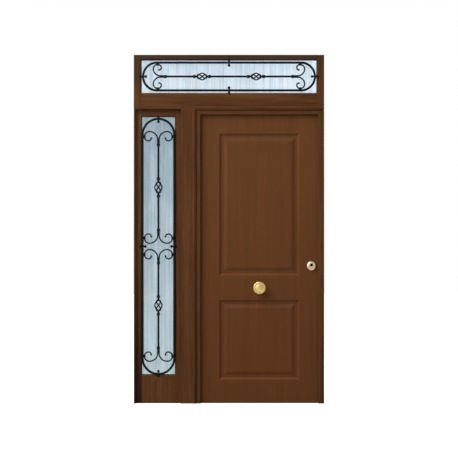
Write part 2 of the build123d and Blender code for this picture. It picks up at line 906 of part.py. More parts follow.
with BuildPart() as pull_knob:
    neck_top = knob_rose_thickness + knob_neck_length
    rim_low = neck_top + knob_back_height
    rim_high = rim_low + knob_rim_height
    groove_edge = knob_button_radius + knob_groove_width
    button_sphere = (knob_button_radius**2 + knob_button_rise**2) / (2 * knob_button_rise)
    with BuildSketch(turning_plane(opening_middle, leaf_front, knob_height, -1)):
        with BuildLine():
            Polyline(
                (0, rim_high + knob_button_rise),
                (0, knob_rose_thickness),
                (knob_neck_radius, knob_rose_thickness),
                (knob_neck_radius, neck_top),
            )
            SagittaArc((knob_neck_radius, neck_top), (knob_radius, rim_low), -knob_back_bulge)
            Line((knob_radius, rim_low), (knob_radius, rim_high - knob_rim_rounding))
            RadiusArc(
                (knob_radius, rim_high - knob_rim_rounding),
                (knob_radius - knob_rim_rounding, rim_high),
                -knob_rim_rounding,
            )
            Polyline(
                (knob_radius - knob_rim_rounding, rim_high),
                (groove_edge, rim_high),
                (groove_edge - knob_groove_width / 2, rim_high - knob_groove_depth),
                (knob_button_radius, rim_high),
            )
            RadiusArc((knob_button_radius, rim_high), (0, rim_high + knob_button_rise), -button_sphere)
        make_face()
    revolve(axis=turning_axis(opening_middle, leaf_front, knob_height, -1))


def escutcheon_profile():
    """A guard with a low rim, a sloping shoulder and a flat face."""
    with BuildLine() as profile:
        Polyline(
            (0, escutcheon_height),
            (0, 0),
            (escutcheon_radius, 0),
            (escutcheon_radius, escutcheon_edge_height),
        )
        SagittaArc(
            (escutcheon_radius, escutcheon_edge_height),
            (escutcheon_face_radius, escutcheon_height),
            -escutcheon_edge_height / 2,
        )
        Line((escutcheon_face_radius, escutcheon_height), (0, escutcheon_height))
    make_face(profile.edges())


with BuildPart() as lock_escutcheon:
    with BuildSketch(turning_plane(lock_x, leaf_front, lock_height, -1)):
        escutcheon_profile()
    revolve(axis=turning_axis(lock_x, leaf_front, lock_height, -1))
    with BuildSketch(facade(leaf_front)):
        cylinder_section(cylinder_clearance)
    extrude(amount=cylinder_front_reach + cylinder_clearance, mode=Mode.SUBTRACT)
    with BuildSketch(facade(leaf_front)):
        with Locations((lock_x, cylinder_height)):
            Circle(keyhole_radius)
    extrude(amount=escutcheon_height, mode=Mode.SUBTRACT)

with BuildPart() as inner_escutcheon:
    with BuildSketch(turning_plane(lock_x, leaf_back, lock_height, 1)):
        escutcheon_profile()
    revolve(axis=turning_axis(lock_x, leaf_back, lock_height, 1))
    with BuildSketch(facade(leaf_back + escutcheon_height)):
        cylinder_section(cylinder_clearance)
    extrude(amount=escutcheon_height, mode=Mode.SUBTRACT)

with BuildPart() as lock_cylinder:
    with BuildSketch(facade(leaf_back + cylinder_reach)):
        cylinder_section(0)
    extrude(amount=cylinder_reach + leaf_thickness + cylinder_front_reach)
    for end, side in ((leaf_front - cylinder_front_reach, 1), (leaf_back + cylinder_reach, -1)):
        keyway_x = (lock_x - keyway_width / 2, lock_x + keyway_width / 2)
        keyway_z = (cylinder_height - keyway_height / 2, cylinder_height + keyway_height / 2)
        keyway_y = sorted((end, end + side * keyway_depth))
        block(keyway_x, keyway_y, keyway_z, mode=Mode.SUBTRACT)

# Lever on the room side
with BuildPart() as lever_rose:
    with BuildSketch(turning_plane(lock_x, leaf_back, lever_height, 1)):
        turned_disc(lever_rose_radius, lever_rose_thickness, lever_rose_thickness / 3)
    revolve(axis=turning_axis(lock_x, leaf_back, lever_height, 1))

with BuildPart() as inner_lever:
    lever_y = leaf_back + lever_standoff
    with BuildLine() as lever_path:
        FilletPolyline(
            (lock_x, leaf_back + lever_rose_thickness, lever_height),
            (lock_x, lever_y, lever_height),
            (lock_x - lever_length, lever_y, lever_height),
            radius=lever_bend_radius,
        )
    with BuildSketch(Plane(origin=lever_path.line @ 0, z_dir=lever_path.line % 0)):
        Circle(lever_radius)
    sweep()
    with Locations((lock_x - lever_length, lever_y, lever_height)):
        Sphere(lever_radius)

pieces = {
    "left_jamb": left_jamb,
    "sidelight_head": sidelight_head,
    "mullion": mullion,
    "hinge_jamb": hinge_jamb,
    "door_head": door_head,
    "lock_jamb": lock_jamb,
    "strike_plate": strike_plate,
    "transom_left_stile": transom_left_stile,
    "transom_right_stile": transom_right_stile,
    "transom_bottom_rail": transom_bottom_rail,
    "transom_top_rail": transom_top_rail,
    "transom_glass": transom_glass,
    "transom_glazing_beads": transom_glazing_beads,
    "transom_grille_ring": transom_grille_ring,
    "transom_grille_spindle": transom_grille_spindle,
    "transom_grille_scrolls": transom_grille_scrolls,
    "sidelight_left_stile": sidelight_left_stile,
    "sidelight_right_stile": sidelight_right_stile,
    "sidelight_bottom_panel": sidelight_bottom_panel,
    "sidelight_top_rail": sidelight_top_rail,
    "sidelight_glass": sidelight_glass,
    "sidelight_glazing_beads": sidelight_glazing_beads,
    "sidelight_grille_ring": sidelight_grille_ring,
    "sidelight_grille_spindles": sidelight_grille_spindles,
    "sidelight_grille_scrolls": sidelight_grille_scrolls,
    "hinge_frame_halves": hinge_frame_halves,
    "hinge_leaf_halves": hinge_leaf_halves,
    "leaf_outer_skin": leaf_outer_skin,
    "leaf_inner_skin": leaf_inner_skin,
    "leaf_core": leaf_core,
    "lock_faceplate": lock_faceplate,
    "lock_bolts": lock_bolts,
    "dog_bolts": dog_bolts,
    "knob_rose": knob_rose,
    "pull_knob": pull_knob,
    "lock_escutcheon": lock_escutcheon,
    "inner_escutcheon": inner_escutcheon,
    "lock_cylinder": lock_cylinder,
    "lever_rose": lever_rose,
    "inner_lever": inner_lever,
}

os.makedirs("parts", exist_ok=True)
for name, piece in pieces.items():
    piece.part.label = name
    export_step(piece.part, f"parts/{name}.step")
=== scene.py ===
import json
from math import cos, pi, radians, sin

import bmesh
import bpy
from mathutils import Matrix, Vector


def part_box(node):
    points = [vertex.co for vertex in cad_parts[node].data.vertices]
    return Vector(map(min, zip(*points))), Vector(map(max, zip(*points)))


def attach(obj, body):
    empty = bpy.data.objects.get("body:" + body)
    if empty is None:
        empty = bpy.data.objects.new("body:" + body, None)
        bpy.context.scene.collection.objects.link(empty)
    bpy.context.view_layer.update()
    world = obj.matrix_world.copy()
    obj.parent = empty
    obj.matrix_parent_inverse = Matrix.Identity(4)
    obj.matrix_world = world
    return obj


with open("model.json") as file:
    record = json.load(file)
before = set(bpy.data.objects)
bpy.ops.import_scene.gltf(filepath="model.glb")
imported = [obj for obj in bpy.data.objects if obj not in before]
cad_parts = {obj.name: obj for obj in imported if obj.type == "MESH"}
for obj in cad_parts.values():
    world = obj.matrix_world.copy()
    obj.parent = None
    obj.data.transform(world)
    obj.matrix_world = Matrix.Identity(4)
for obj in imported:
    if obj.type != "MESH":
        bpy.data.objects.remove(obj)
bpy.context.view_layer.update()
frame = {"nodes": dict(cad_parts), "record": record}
NODES = frame["nodes"]
RECORD = frame["record"]

# Camera: straight on from the street, through a long lens
MM_PER_PIXEL = 6.985
IMAGE_PIXELS = 458
VIEW_CENTRE = (0.665, 1.2194)
LENS_MM = 200.0
SENSOR_MM = 36.0

# Light: an even room, brighter behind the door, a soft lamp at the upper left and a weak one behind
AMBIENT = 0.4
BACKDROP = 1.2
GLOW_START = -0.1
GLOW_END = 0.4
KEY_WATTS = 660.0
KEY_PLACE = (-3.3, -3.5, 5.6)
KEY_SIZE = 6.3
BACK_WATTS = 60.0
BACK_PLACE = (3.2, 4.8, 3.4)
BACK_SIZE = 3.0
FLOOR_GREY = 0.5
FLOOR_GLOW = 0.85
FLOOR_SIZE = 60.0
FLOOR_DROP = 0.001

# Edges rounded in the render, in metres
EDGE_ROUND = 0.0012
SHEET_ROUND = 0.0007
BAR_ROUND = 0.0016
WELD_GAP = 1e-5

# Angles between faces, in degrees: below which they merge, above which they are rounded or creased
FLAT_ANGLE = 0.5
HARD_ANGLE = 30.0
SHARP_ANGLE = 35.0

# Small parts: lengths in metres, screw places as shares of a plate
SEAL_WIDTH = 0.008
SEAL_INSET = 0.0065
SEAL_HEIGHT = 0.0044
SEAL_ARCH_STEPS = 6
STOP_GAP = 0.005
SWEEP_THICKNESS = 0.003
SWEEP_SETBACK = 0.0015
SWEEP_GAP = 0.0012
GLASS_REBATE = 0.012
GASKET = 0.0035
LUG_BOSS_RADIUS = 0.009
LUG_HALF_THICKNESS = 0.002
DOME_RADIUS = 0.0046
DOME_HEIGHT = 0.0029
PLUG_RADIUS = 0.0085
KEYHOLE_RADIUS = 0.0105
LINER_PLAY = 0.0002
SCREW_RADIUS = 0.0045
PLATE_SCREW_RADIUS = 0.0038
PLATE_SCREW_PLACES = (0.018, 0.25, 0.75, 0.982)
HINGE_COUNT = 3
HINGE_KNUCKLE = 0.06
HINGE_PLATE = 0.004
HINGE_SCREW_REACH = 0.0235
HINGE_SCREW_STEPS = ((0.012, -0.003), (0.03, 0.004), (0.048, -0.003))
FINIAL_RADIUS = 0.0088
CAP_RADIUS = 0.0085
ANCHOR_COUNT = 4
ANCHOR_MARGIN = 0.25
HEAD_ANCHOR_MARGIN = 0.3
STRIP_SETBACK = 0.004
SUNK = 0.0005

# Wood grain, across and along its fibres, in cells a metre
FIGURE_GRAIN = (22.0, 1.3)
FIBRE_GRAIN = (190.0, 4.0)
PORE_GRAIN = (520.0, 16.0)

# How far a face has to look upwards before a painted highlight lightens its film, from 0 to 1
TOP_HIGHLIGHT_START = 0.2

# Upright patterns, along x, y and z, in cells a metre
FLUTE_PATTERN = (80.0, 80.0, 1.6)
# Patches of painted reflection in the glass
REFLECTION_PATTERN = (9.0, 9.0, 4.0)
BRUSH_PATTERN = (600.0, 600.0, 18.0)

# Plain colours
BLACK = (0.0, 0.0, 0.0, 1.0)
WHITE = (1.0, 1.0, 1.0, 1.0)


def srgb(red, green, blue):
    """A colour given as 0 to 255 display values, as linear light."""
    def linear(value):
        value /= 255.0
        return value / 12.92 if value <= 0.04045 else ((value + 0.055) / 1.055) ** 2.4
    return (linear(red), linear(green), linear(blue), 1.0)


class Shader:
    """A Principled material and short calls for its nodes."""

    def __init__(self, name):
        self.material = bpy.data.materials.new(name)
        self.material.use_nodes = True
        self.tree = self.material.node_tree
        self.bsdf = self.tree.nodes["Principled BSDF"]
        self.coordinates = self.node("ShaderNodeTexCoord").outputs["Object"]

    def node(self, kind, inputs=None, **settings):
        """A new node with its settings made and its inputs filled."""
        made = self.tree.nodes.new(kind)
        for key, value in settings.items():
            setattr(made, key, value)
        for key, value in (inputs or {}).items():
            self.plug(made.inputs[key], value)
        return made

    def plug(self, socket, value):
        """Link an output to a socket, or set a plain value on it."""
        if isinstance(value, bpy.types.NodeSocket):
            self.tree.links.new(value, socket)
        else:
            socket.default_value = value

    def set(self, **inputs):
        """Fill the surface's inputs, named with underscores for spaces."""
        for key, value in inputs.items():
            self.plug(self.bsdf.inputs[key.replace("_", " ")], value)

    def stretched(self, scale):
        """The piece's coordinates, scaled along x, y and z."""
        mapping = self.node("ShaderNodeMapping", {"Vector": self.coordinates, "Scale": scale})
        return mapping.outputs["Vector"]

    def noise(self, scale, detail=4.0, roughness=0.55, distortion=0.0, vector=None):
        """A cloudy pattern from 0 to 1."""
        made = self.node(
            "ShaderNodeTexNoise",
            {
                "Vector": vector or self.coordinates,
                "Scale": scale,
                "Detail": detail,
                "Roughness": roughness,
                "Distortion": distortion,
            },
        )
        return made.outputs["Fac"]

    def ramp(self, factor, *stops):
        """Colours along a factor, from (place, colour) stops."""
        made = self.node("ShaderNodeValToRGB", {"Fac": factor})
        elements = made.color_ramp.elements
        while len(elements) < len(stops):
            elements.new(0.5)
        for element, (place, colour) in zip(elements, stops):
            element.position = place
            element.color = colour
        return made.outputs["Color"]

    def grey(self, factor, *stops):
        """Greys along a factor, from (place, value) stops."""
        return self.ramp(factor, *[(place, (value, value, value, 1.0)) for place, value in stops])

    def mix(self, blend, factor, first, second):
        """Two colours blended."""
        made = self.node("ShaderNodeMix", data_type="RGBA", blend_type=blend)
        self.plug(made.inputs["Factor"], factor)
        self.plug(made.inputs["A"], first)
        self.plug(made.inputs["B"], second)
        return made.outputs["Result"]

    def height_share(self, low, high):
        """How far up a point lies between two heights, from 0 to 1."""
        parts = self.node("ShaderNodeSeparateXYZ", {"Vector": self.coordinates})
        ranged = self.node(
            "ShaderNodeMapRange",
            {"Value": parts.outputs["Z"], "From Min": low, "From Max": high},
            interpolation_type="SMOOTHSTEP",
        )
        return ranged.outputs["Result"]

    def bump(self, height, strength, distance, normal=None):
        """A surface direction tilted by a height pattern."""
        made = self.node("ShaderNodeBump", {"Height": height, "Strength": strength, "Distance": distance})
        if normal is not None:
            self.plug(made.inputs["Normal"], normal)
        return made.outputs["Normal"]


def grain_material(name, axis, shades, contrast=0.24, pore_depth=0.3, top_highlight=0.7, height_tint=None):
    """Wood-grain film on steel, its grain along one axis, with a painted highlight on faces that look
    upwards.

    A height tint is a start height, an end height and the tint that it gives at the start.
    """
    shader = Shader(name)

    def stretch(across, along):
        return (across, across, along) if axis == "Z" else (along, across, across)

    figure = shader.noise(1.0, 6.0, 0.6, 1.1, shader.stretched(stretch(*FIGURE_GRAIN)))
    fibre = shader.noise(1.0, 4.0, 0.65, 0.0, shader.stretched(stretch(*FIBRE_GRAIN)))
    pores = shader.noise(1.0, 2.0, 0.5, 0.0, shader.stretched(stretch(*PORE_GRAIN)))
    dark, middle, light = shades
    colour = shader.ramp(figure, (0.5 - contrast, dark), (0.5, middle), (0.5 + contrast, light))
    fibre_shade = shader.grey(fibre, (0.3, 1.0 - pore_depth / 2), (0.65, 1.0))
    colour = shader.mix("MULTIPLY", 1.0, colour, fibre_shade)
    pore_shade = shader.grey(pores, (0.3, 1.0 - pore_depth), (0.45, 1.0))
    colour = shader.mix("MULTIPLY", 1.0, colour, pore_shade)
    # Faces that look upwards are screened towards the light shade: a painted highlight
    normal = shader.node("ShaderNodeNewGeometry").outputs["Normal"]
    rise = shader.node("ShaderNodeSeparateXYZ", {"Vector": normal}).outputs["Z"]
    highlight_range = {"Value": rise, "From Min": TOP_HIGHLIGHT_START, "To Max": top_highlight}
    highlighted = shader.node("ShaderNodeMapRange", highlight_range)
    colour = shader.mix("SCREEN", highlighted.outputs["Result"], colour, light)
    # The film tinted by height: painted shade on the jamb and the sidelight's stile, painted light on the
    # transom's right stile
    if height_tint:
        start, end, tint = height_tint
        drift = shader.noise(7.0, 4.0, 0.6)
        veil = shader.mix("ADD", 0.25, shader.height_share(start, end), drift)
        colour = shader.mix("MULTIPLY", 1.0, colour, shader.ramp(veil, (0.1, tint), (1.0, WHITE)))
    shader.set(Base_Color=colour, Specular_IOR_Level=0.1)
    shader.set(Roughness=shader.grey(fibre, (0.3, 0.6), (0.7, 0.44)))
    shader.set(Normal=shader.bump(pores, 0.2, 0.0004, shader.bump(fibre, 0.12, 0.0006)))
    return shader.material


def iron_material():
    """Black forged iron: hammered facets under matt paint, rubbed thin in places."""
    shader = Shader("black_forged_iron")
    hammer = shader.noise(95.0, 2.0, 0.5)
    dust = shader.noise(22.0, 5.0, 0.6)
    shader.set(Base_Color=shader.ramp(dust, (0.35, srgb(3, 4, 6)), (0.75, srgb(14, 17, 21))))
    shader.set(Metallic=0.15, Specular_IOR_Level=0.2)
    shader.set(Roughness=shader.grey(dust, (0.3, 0.42), (0.8, 0.64)))
    shader.set(Normal=shader.bump(hammer, 0.3, 0.0012))
    return shader.material


def glass_material(name, low_lit_colour, high_lit_colour, limits):
    """Pale patterned glass with upright flutes and ripples, pale patches of painted reflection, and a
    brightness that changes with height as painted light coming through it.
    """
    shader = Shader(name)
    flutes = shader.noise(1.0, 3.0, 0.6, 0.0, shader.stretched(FLUTE_PATTERN))
    ripples = shader.noise(110.0, 2.0, 0.5, 0.4)
    # Painted light: the glass is brighter towards the bottom, as light coming through it
    colour = shader.mix("MIX", shader.height_share(*limits), low_lit_colour, high_lit_colour)
    colour = shader.mix("MULTIPLY", 1.0, colour, shader.grey(flutes, (0.34, 0.66), (0.6, 1.0)))
    colour = shader.mix("MULTIPLY", 0.5, colour, shader.grey(ripples, (0.35, 0.8), (0.6, 1.0)))
    # Pale patches screened on: painted reflections
    reflections = shader.noise(1.0, 3.0, 0.6, 0.8, shader.stretched(REFLECTION_PATTERN))
    colour = shader.mix("SCREEN", 1.0, colour, shader.ramp(reflections, (0.45, BLACK), (0.75, GLASS_REFLECTION)))
    shader.set(Base_Color=colour, IOR=1.5, Transmission_Weight=0.88)
    shader.set(Roughness=shader.grey(ripples, (0.3, 0.3), (0.7, 0.42)))
    shader.set(Normal=shader.bump(ripples, 0.12, 0.0008, shader.bump(flutes, 0.2, 0.0012)))
    return shader.material


def brass_material(name, dark, light):
    """Polished brass under faint smears."""
    shader = Shader(name)
    smear = shader.noise(60.0, 4.0, 0.6)
    shader.set(Base_Color=shader.ramp(smear, (0.3, dark), (0.7, light)))
    shader.set(Metallic=1.0, Roughness=shader.grey(smear, (0.3, 0.34), (0.8, 0.46)))
    shader.set(Normal=shader.bump(smear, 0.05, 0.0004))
    return shader.material


def steel_material(name, dark, light):
    """Brushed steel, its brush lines upright."""
    shader = Shader(name)
    lines = shader.noise(1.0, 3.0, 0.6, 0.0, shader.stretched(BRUSH_PATTERN))
    shader.set(Base_Color=shader.ramp(lines, (0.3, dark), (0.7, light)))
    shader.set(Metallic=1.0, Roughness=shader.grey(lines, (0.3, 0.28), (0.7, 0.42)))
    shader.set(Normal=shader.bump(lines, 0.08, 0.0003))
    return shader.material


def dull_material(name, dark, light, scale, roughness):
    """Rubber, foam or matt plastic with a fine uneven skin."""
    shader = Shader(name)
    skin = shader.noise(scale, 3.0, 0.6)
    shader.set(Base_Color=shader.ramp(skin, (0.3, dark), (0.7, light)), Specular_IOR_Level=0.25)
    shader.set(Roughness=shader.grey(skin, (0.3, roughness - 0.12), (0.7, roughness)))
    shader.set(Normal=shader.bump(skin, 0.15, 0.0004))
    return shader.material


# Shades of the film, from dark to light, its tints by height, among them painted shade and painted light,
# and the painted reflections in the glass
FRAME_SHADES = (srgb(64, 36, 16), srgb(85, 50, 24), srgb(100, 62, 33))
DARK_SHADES = (srgb(46, 30, 18), srgb(60, 41, 27), srgb(73, 51, 35))
# Painted light: the sidelight's stile gets lighter shades than the frame, against the shade cast on it
STILE_LIT_SHADES = (srgb(77, 50, 28), srgb(97, 65, 39), srgb(112, 77, 50))
LEAF_SHADES = (srgb(85, 52, 24), srgb(93, 56, 27), srgb(100, 61, 31))
# The leaf turns redder and a little darker towards the bottom
LEAF_LOW_TINT = (0.2, 1.9, (0.98, 0.89, 0.84, 1.0))
# Painted shade: the left jamb darkens towards the floor
JAMB_LOW_SHADE = (0.0, 0.9, (0.4, 0.28, 0.25, 1.0))
# Painted shade: the sidelight's stile darkens towards the floor
STILE_LOW_SHADE = (0.0, 1.3, (0.28, 0.23, 0.22, 1.0))
# The transom's stiles turn darker and bluer towards the top; on the right the tint is milder, a painted
# light against the key lamp's falloff towards the right
TRANSOM_LEFT_TOP_TINT = (2.3, 2.08, (0.48, 0.68, 1.0, 1.0))
TRANSOM_RIGHT_TOP_TINT = (2.42, 2.16, (0.68, 0.84, 1.0, 1.0))
# The colour of the painted reflections in the glass
GLASS_REFLECTION = srgb(146, 146, 152)

# Finishes
POST = grain_material("walnut_film_upright", "Z", FRAME_SHADES)
RAIL = grain_material("walnut_film_level", "X", FRAME_SHADES)
DARK_RAIL = grain_material("dark_film_level", "X", DARK_SHADES)
DARK_LEFT_POST = grain_material("dark_film_left", "Z", FRAME_SHADES, height_tint=TRANSOM_LEFT_TOP_TINT)
DARK_RIGHT_POST = grain_material("dark_film_right", "Z", FRAME_SHADES, height_tint=TRANSOM_RIGHT_TOP_TINT)
# The left jamb's film, with painted shade towards the floor
SHADED_JAMB = grain_material("walnut_film_shaded_low", "Z", FRAME_SHADES, height_tint=JAMB_LOW_SHADE)
LIT_AND_SHADED_STILE = grain_material("walnut_film_lit_and_shaded", "Z", STILE_LIT_SHADES, height_tint=STILE_LOW_SHADE)
LEAF = grain_material(
    "leaf_film", "Z", LEAF_SHADES, contrast=0.3, pore_depth=0.1, top_highlight=0.35, height_tint=LEAF_LOW_TINT
)
IRON = iron_material()
SIDE_GLASS = glass_material("patterned_glass_side", srgb(224, 246, 255), srgb(168, 191, 205), (0.3, 1.9))
TOP_GLASS = glass_material("patterned_glass_top", srgb(224, 241, 253), srgb(217, 236, 250), (2.2, 2.4))
BRASS = brass_material("polished_brass", srgb(242, 208, 132), srgb(252, 224, 158))
PALE_BRASS = brass_material("pale_brass", srgb(246, 214, 170), srgb(252, 228, 192))
STEEL = steel_material("satin_steel", srgb(150, 150, 150), srgb(190, 190, 188))
# Nearly black steel for the lock cylinder and the keyhole sleeve, partly painted shade of the deep
# keyhole
BLACK_STEEL_AND_SHADE = steel_material("black_steel_and_shade", srgb(12, 12, 12), srgb(24, 24, 24))
CORE = dull_material("core_filling", srgb(190, 170, 120), srgb(215, 198, 150), 300.0, 0.95)
RUBBER = dull_material("black_rubber", srgb(14, 14, 14), srgb(26, 25, 24), 240.0, 0.8)
PLASTIC = dull_material("brown_plastic", srgb(70, 43, 24), srgb(84, 53, 31), 260.0, 0.55)

# The finish of each material slot, and of the nodes that have one of their own
SLOT_FINISHES = {
    "frame_finish": POST,
    "leaf_finish": LEAF,
    "core_filling": CORE,
    "patterned_glass": SIDE_GLASS,
    "forged_iron": IRON,
    "polished_brass": BRASS,
    "bright_steel": STEEL,
}
NODE_FINISHES = {
    "left_jamb": SHADED_JAMB,
    "sidelight_left_stile": LIT_AND_SHADED_STILE,
    "sidelight_head": RAIL,
    "sidelight_top_rail": RAIL,
    "door_head": RAIL,
    "transom_bottom_rail": RAIL,
    "transom_top_rail": DARK_RAIL,
    "transom_left_stile": DARK_LEFT_POST,
    "transom_right_stile": DARK_RIGHT_POST,
    "transom_glass": TOP_GLASS,
    "lock_escutcheon": PALE_BRASS,
    "lock_cylinder": BLACK_STEEL_AND_SHADE,
}

# Sheets and bars, whose edges have a rounding of their own
SHEETS = ("leaf_outer_skin", "leaf_inner_skin")
BARS = ("transom_grille_scrolls", "sidelight_grille_scrolls")


def soften(node, width):
    """Join a node's faces, merge its flat ones and round its hard edges by a small bevel."""
    weld = node.modifiers.new("join_faces", "WELD")
    weld.merge_threshold = WELD_GAP
    merge = node.modifiers.new("merge_flats", "DECIMATE")
    merge.decimate_type = "DISSOLVE"
    merge.angle_limit = radians(FLAT_ANGLE)
    bevel = node.modifiers.new("edge_round", "BEVEL")
    bevel.width = width
    bevel.segments = 2
    bevel.limit_method = "ANGLE"
    bevel.angle_limit = radians(HARD_ANGLE)
    bevel.harden_normals = True


def dress_nodes():
    """Give every node its finish and the hard-edged ones a rounded edge."""
    for part in RECORD["subparts"]:
        name = part["node"]
        node = NODES[name]
        node.data.materials.clear()
        node.data.materials.append(NODE_FINISHES.get(name, SLOT_FINISHES[part["material_slot"]]))
        if part["material_slot"] == "frame_finish":
            soften(node, EDGE_ROUND)
        elif name in SHEETS:
            soften(node, SHEET_ROUND)
        elif name in BARS:
            soften(node, BAR_ROUND)


def add_piece(name, mesh, material, body):
    """Turn a bmesh into a named piece that moves with a body."""
    bmesh.ops.recalc_face_normals(mesh, faces=mesh.faces)
    data = bpy.data.meshes.new(name)
    mesh.to_mesh(data)
    mesh.free()
    data.shade_smooth()
    data.set_sharp_from_angle(angle=radians(SHARP_ANGLE))
    data.materials.append(material)
    piece = bpy.data.objects.new(name, data)
    bpy.context.scene.collection.objects.link(piece)
    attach(piece, body)


def facing(centre, axis):
    """A placement at a point with its local z along an axis."""
    spin = Vector((0.0, 0.0, 1.0)).rotation_difference(Vector(axis)).to_matrix().to_4x4()
    return Matrix.Translation(centre) @ spin


def turned_ring(mesh, place, radius, height, steps, corners=0):
    """A ring of points about a local z axis; with corners it follows a polygon."""
    ring = []
    for i in range(steps):
        turn = 2.0 * pi * i / steps
        reach = radius
        if corners:
            sector = 2.0 * pi / corners
            reach = radius * cos(sector / 2.0) / cos(turn % sector - sector / 2.0)
        ring.append(mesh.verts.new(place @ Vector((reach * cos(turn), reach * sin(turn), height))))
    return ring


def bridge(mesh, lower, upper):
    """Faces between two rings of equal length."""
    for i in range(len(lower)):
        j = (i + 1) % len(lower)
        mesh.faces.new((lower[i], lower[j], upper[j], upper[i]))


def lathe(mesh, profile, centre, axis, steps=28, closed=False):
    """Add a turned shape from (radius, height) points, capped at both ends or closed on itself."""
    place = facing(centre, axis)
    rings = [turned_ring(mesh, place, radius, height, steps) for radius, height in profile]
    for lower, upper in zip(rings, rings[1:]):
        bridge(mesh, lower, upper)
    if closed:
        bridge(mesh, rings[-1], rings[0])
    else:
        mesh.faces.new(rings[0])
        mesh.faces.new(rings[-1])


def socket_screw(mesh, centre, axis, radius):
    """A low countersunk head with a six-sided socket."""
    steps = 24
    place = facing(centre, axis)
    rings = [
        turned_ring(mesh, place, radius, -SUNK, steps),
        turned_ring(mesh, place, radius, 0.0005, steps),
        turned_ring(mesh, place, 0.86 * radius, 0.0010, steps),
        turned_ring(mesh, place, 0.50 * radius, 0.0011, steps, corners=6),
        turned_ring(mesh, place, 0.46 * radius, -0.0002, steps, corners=6),
    ]
    for lower, upper in zip(rings, rings[1:]):
        bridge(mesh, lower, upper)
    mesh.faces.new(rings[0])
    mesh.faces.new(rings[-1])


def mitre(path, i, closed):
    """The sideways direction at a corner of a path along the wall, lengthened for a mitred joint."""
    count = len(path)
    here = Vector(path[i])
    legs = []
    if closed or i > 0:
        legs.append(here - Vector(path[i - 1]))
    if closed or i < count - 1:
        legs.append(Vector(path[(i + 1) % count]) - here)
    sides = [Vector((-leg.y, leg.x)).normalized() for leg in legs]
    if len(sides) == 1:
        return sides[0]
    return (sides[0] + sides[1]) / (1.0 + sides[0].dot(sides[1]))


def strip(mesh, path, profile, closed):
    """Sweep a (sideways, depth) profile along corners in the wall's plane."""
    rings = []
    for i, corner in enumerate(path):
        side = mitre(path, i, closed)
        ring = []
        for offset, depth in profile:
            spot = Vector(corner) + side * offset
            ring.append(mesh.verts.new((spot.x, depth, spot.y)))
        rings.append(ring)
    for first, second in zip(rings, rings[1:]):
        bridge(mesh, first, second)
    if closed:
        bridge(mesh, rings[-1], rings[0])
    else:
        mesh.faces.new(rings[0])
        mesh.faces.new(rings[-1])


# Places taken from the frame
LEAF_LOW, LEAF_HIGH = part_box("leaf_outer_skin")
OPENING_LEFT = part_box("hinge_jamb")[1].x
OPENING_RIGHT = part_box("lock_jamb")[0].x
OPENING_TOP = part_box("door_head")[0].z


def door_seal():
    """A rubber bead on the frame's stop, just short of the closed leaf."""
    mesh = bmesh.new()
    left = OPENING_LEFT - SEAL_INSET
    right = OPENING_RIGHT + SEAL_INSET
    top = OPENING_TOP + SEAL_INSET
    foot = LEAF_LOW.y - STOP_GAP
    arch = []
    for i in range(SEAL_ARCH_STEPS + 1):
        turn = pi * i / SEAL_ARCH_STEPS
        arch.append((-SEAL_WIDTH / 2.0 * cos(turn), foot + SEAL_HEIGHT * sin(turn)))
    strip(mesh, [(left, SWEEP_GAP), (left, top), (right, top), (right, SWEEP_GAP)], arch, closed=False)
    add_piece("door_seal", mesh, RUBBER, "frame")


def door_sweep():
    """Two rubber fins under the leaf that almost reach the floor."""
    mesh = bmesh.new()
    root = LEAF_LOW.z + SUNK
    shoulder = 2.0 * SWEEP_GAP
    for front in (LEAF_LOW.y + SWEEP_SETBACK, LEAF_HIGH.y - SWEEP_SETBACK - SWEEP_THICKNESS):
        back = front + SWEEP_THICKNESS
        section = [
            (front, root),
            (front, shoulder),
            ((front + back) / 2.0, SWEEP_GAP),
            (back, shoulder),
            (back, root),
        ]
        ends = []
        for x in (LEAF_LOW.x + SWEEP_SETBACK, LEAF_HIGH.x - SWEEP_SETBACK):
            ends.append([mesh.verts.new((x, y, z)) for y, z in section])
        bridge(mesh, *ends)
        mesh.faces.new(ends[0])
        mesh.faces.new(ends[1])
    add_piece("door_sweep", mesh, RUBBER, "leaf")


def glazing_gasket(light):
    """A rubber lip where the glass meets its frame on the street side."""
    mesh = bmesh.new()
    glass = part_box(light + "_glass")[0].y
    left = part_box(light + "_left_stile")[1].x
    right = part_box(light + "_right_stile")[0].x
    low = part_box(light + "_glazing_beads")[0].z + GLASS_REBATE
    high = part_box(light + "_glazing_beads")[1].z - GLASS_REBATE
    lip = [
        (0.0, glass),
        (0.0, glass - GASKET),
        (-0.35 * GASKET, glass - 0.9 * GASKET),
        (-0.8 * GASKET, glass - 0.45 * GASKET),
        (-GASKET, glass),
    ]
    strip(mesh, [(left, low), (left, high), (right, high), (right, low)], lip, closed=True)
    add_piece(light + "_gasket", mesh, RUBBER, "frame")


def grille_fixings():
    """A dome-headed fixing on the boss of every grille lug."""
    mesh = bmesh.new()
    dome = [
        (DOME_RADIUS, -SUNK),
        (DOME_RADIUS, 0.14 * DOME_HEIGHT),
        (0.89 * DOME_RADIUS, 0.52 * DOME_HEIGHT),
        (0.63 * DOME_RADIUS, 0.83 * DOME_HEIGHT),
        (0.2 * DOME_RADIUS, DOME_HEIGHT),
    ]
    for ring in ("transom_grille_ring", "sidelight_grille_ring"):
        low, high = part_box(ring)
        middle = (low + high) / 2.0
        face = middle.y - LUG_HALF_THICKNESS
        for x, z in (
            (low.x + LUG_BOSS_RADIUS, middle.z),
            (high.x - LUG_BOSS_RADIUS, middle.z),
            (middle.x, low.z + LUG_BOSS_RADIUS),
            (middle.x, high.z - LUG_BOSS_RADIUS),
        ):
            lathe(mesh, dome, (x, face, z), (0.0, -1.0, 0.0), 20)
    add_piece("grille_fixings", mesh, IRON, "frame")


